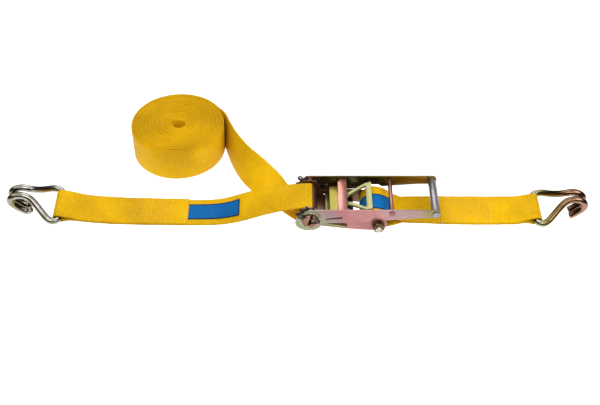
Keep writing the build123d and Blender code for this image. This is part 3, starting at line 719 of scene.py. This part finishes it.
def tube_mesh(points, radius, step=1.8, segments=20):
    """Vertices and faces of a round bar along a smooth line, with slightly domed ends."""
    path = [Vector(p) for p in evened(catmull(points, 6), step)]
    vertices, faces = [], []
    side = Vector((1, 0, 0))
    for i, p in enumerate(path):
        along = (path[min(i + 1, len(path) - 1)] - path[max(i - 1, 0)]).normalized()
        side = (side - along * side.dot(along)).normalized()
        other = along.cross(side)
        end = min(i, len(path) - 1 - i)
        size = radius * (0.8, 0.95)[end] if end < 2 else radius
        for k in range(segments):
            a = 2 * math.pi * k / segments
            vertices.append(p + (side * math.cos(a) + other * math.sin(a)) * size)
    for i in range(len(path) - 1):
        for k in range(segments):
            m = (k + 1) % segments
            faces.append((i * segments + k, i * segments + m, (i + 1) * segments + m, (i + 1) * segments + k))
    faces.append(tuple(range(segments))[::-1])
    faces.append(tuple(range((len(path) - 1) * segments, len(path) * segments)))
    return vertices, faces


def hook(name, tip, bar, tilt, pitch, outward, material):
    """Double claw bent from one bar and set on its webbing eye."""
    leg = HOOK_LEG + tip
    points = leg[::-1] + [(0, 17, 0), (0, 0, 0), (0, -17, 0)] + [(x, -y, z) for x, y, z in leg]
    obj = make_object(name, *tube_mesh(points, WIRE_R), [material])
    place = Matrix.Translation(Vector((bar[0], 0, bar[1])) * MM)
    place @= Matrix.Rotation(math.radians(tilt), 4, "X")
    place @= Matrix.Rotation(0 if outward > 0 else math.pi, 4, "Z")
    place @= Matrix.Rotation(math.radians(-pitch), 4, "Y")
    obj.data.transform(place)
    return obj


# ---------------------------------------------------------------- springs

# A pawl's slide line is its angle in degrees and its distance below the spool axis.
DRIVE_SLIDE = (8.0, 4.45)
LOCK_SLIDE = (-12.0, 10.24)


def slide_point(angle, drop, along):
    """Point on a pawl's slide line, in millimetres."""
    a = math.radians(angle)
    return Vector((math.sin(a) * drop + math.cos(a) * along, 0, math.sin(a) * along - math.cos(a) * drop))


def coil_springs(name, node, slide, span, sides, coil_r, wire_r, turns):
    """Coil springs between a pawl and what backs them, placed along the pawl's slide line."""
    start, end = (slide_point(*slide, s) for s in (span[0] + wire_r + 0.2, span[1] - wire_r - 0.2))
    across = Vector((0, 1, 0))
    up = across.cross(start - end).normalized()
    steps = 16 * turns
    vertices, faces = [], []
    for y in sides:
        line = []
        for k in range(steps + 1):
            turn = 2 * math.pi * turns * k / steps
            centre = start.lerp(end, k / steps) + across * y
            line.append(tuple(centre + (across * math.cos(turn) + up * math.sin(turn)) * coil_r))
        coil_vertices, coil_faces = tube_mesh(line, wire_r, 0.9, 10)
        first = len(vertices)
        vertices += coil_vertices
        faces += [tuple(first + i for i in face) for face in coil_faces]
    obj = make_object(name, vertices, faces, [spring_steel])
    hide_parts(node)
    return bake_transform(obj)


def pawl_springs():
    """Two springs behind the drive pawl and one behind the lock pawl."""
    coil_springs("drive_pawl_coils", "drive_pawl_springs",
                 DRIVE_SLIDE, (60.2, 75.6), (-31, 31), coil_r=3.9, wire_r=0.7, turns=5)
    coil_springs("lock_pawl_coil", "lock_pawl_spring",
                 LOCK_SLIDE, (80.4, 92.0), (0,), coil_r=5.0, wire_r=0.8, turns=4)


# ---------------------------------------------------------------- metal parts

METALS = {
    "handle_cheek_near": cheek_zinc, "handle_cheek_far": far_cheek_reflection_zinc, "handle_web": web_zinc,
    "handle_cross_bar": bar_zinc, "handle_grip_tube": grip_zinc, "grip_rivet": grip_zinc,
    "drive_pawl": pawl_zinc, "drive_pawl_guides": spring_steel, "lock_pawl": lock_zinc,
    "lock_pawl_guide": spring_steel, "frame_plate_near": near_plate_zinc, "frame_plate_far": shaded_far_plate_zinc,
    "frame_bridge": shaded_frame_floor_zinc, "frame_floor": shaded_frame_floor_zinc, "spacer_sleeve": dark_zinc,
    "ratchet_wheel_near": dark_zinc, "ratchet_wheel_far": dark_zinc,
    "fixed_end_nut": nut_zinc, "fixed_end_bolt": bolt_zinc,
    "fixed_end_washers": nut_zinc, "spool_washers": washer_zinc, "mandrel_half_left": copper_zinc,
    "mandrel_half_right": copper_zinc, "split_pins": pin_steel,
}
SHARP = {"split_pins"}


def finish_metal():
    """Materials and softened edges for every CAD node that is shown as it is."""
    for node, material in METALS.items():
        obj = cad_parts[node]
        obj.data.materials.clear()
        obj.data.materials.append(material)
        obj.data.shade_smooth()
        weld = obj.modifiers.new("weld", "WELD")
        weld.merge_threshold = 0.00002
        if node not in SHARP:
            bevel = obj.modifiers.new("soft_edges", "BEVEL")
            bevel.width = 0.0005
            bevel.segments = 2
            bevel.limit_method = "ANGLE"
            bevel.angle_limit = math.radians(40)
            bevel.harden_normals = True


# ---------------------------------------------------------------- studio

def pale_floor():
    """Wide pale floor, bright enough to read as white."""
    reach = 16000
    corners = [(-reach, -reach), (reach, -reach), (reach, reach), (-reach, reach)]
    floor = make_object("floor", [(x, y, STAGE_Z) for x, y in corners], [(0, 1, 2, 3)], [], smooth=False)
    n = Nodes("pale_floor")
    n.shade(color=(0.82, 0.82, 0.82, 1), roughness=0.9, specular=0.1)
    n.put(n.shader.inputs["Emission Color"], (1, 1, 1, 1))
    n.put(n.shader.inputs["Emission Strength"], 0.62)
    floor.data.materials.append(n.material)


def soft_sky():
    """World light, pale overhead and dim towards the ground."""
    world = bpy.data.worlds.new("studio")
    world.use_nodes = True
    tree = world.node_tree
    place = tree.nodes.new("ShaderNodeTexCoord")
    split = tree.nodes.new("ShaderNodeSeparateXYZ")
    ramp = tree.nodes.new("ShaderNodeValToRGB")
    elements = ramp.color_ramp.elements
    elements[0].color = (0.26, 0.26, 0.26, 1)
    elements[1].position = 0.65
    elements[1].color = (1.1, 1.1, 1.1, 1)
    elements.new(0.32).color = (0.34, 0.34, 0.34, 1)
    tree.links.new(place.outputs["Generated"], split.inputs[0])
    tree.links.new(split.outputs["Z"], ramp.inputs[0])
    tree.links.new(ramp.outputs["Color"], tree.nodes["Background"].inputs["Color"])
    tree.nodes["Background"].inputs["Strength"].default_value = 0.94
    bpy.context.scene.world = world


def area_lights():
    """Soft lamps as (name, place in metres, size in metres, power in watts), all facing the origin."""
    lights = [
        ("key", (-0.1, -1.1, 1.5), 1.0, 7), ("fill", (1.3, -0.6, 1.0), 1.0, 8.5),
        ("back", (-0.1, 1.2, 1.3), 1.2, 9), ("left_kick", (-1.1, 0.1, 0.3), 0.4, 0.7),
        ("right_kick", (0.6, -0.9, 0.5), 0.5, 2.0),
    ]
    for name, place, size, power in lights:
        lamp = bpy.data.lights.new(name, "AREA")
        lamp.size = size
        lamp.energy = power
        obj = bpy.data.objects.new(name, lamp)
        obj.location = place
        obj.rotation_euler = (-Vector(place)).to_track_quat("-Z", "Y").to_euler()
        bpy.context.scene.collection.objects.link(obj)


def camera():
    """Camera at the viewing angle of the reference."""
    data = bpy.data.cameras.new("camera")
    data.lens = 65.0
    data.sensor_width = 36.0
    obj = bpy.data.objects.new("camera", data)
    target = Vector((-20, -3, 0)) * MM
    elevation = math.radians(44.0)
    away = Vector((0, -math.cos(elevation), math.sin(elevation)))
    obj.location = target + away * 2.29
    obj.rotation_euler = (-away).to_track_quat("-Z", "Y").to_euler()
    bpy.context.scene.collection.objects.link(obj)
    bpy.context.scene.camera = obj


loose_strap()
fixed_strap()
spool_webbing()
tail_and_roll()
stitching()
loose_label()
fixed_label()
left_claw = hook("loose_end_claw", CURLED_TIP, LOOSE_BAR, LOOSE_TILT, LOOSE_PITCH, -1, left_hook_zinc)
dress(left_claw, "loose_hook", "loose_end_hook", slot="loose_hook_zinc")
right_claw = hook("fixed_end_claw", OPEN_TIP, FIXED_BAR, FIXED_TILT, FIXED_PITCH, 1, right_hook_zinc)
dress(right_claw, "fixed_hook", "fixed_end_hook", slot="fixed_hook_zinc")
pawl_springs()
finish_metal()
pale_floor()
soft_sky()
area_lights()
camera()
bpy.context.scene.view_settings.view_transform = "Standard"

bpy.context.view_layer.update()
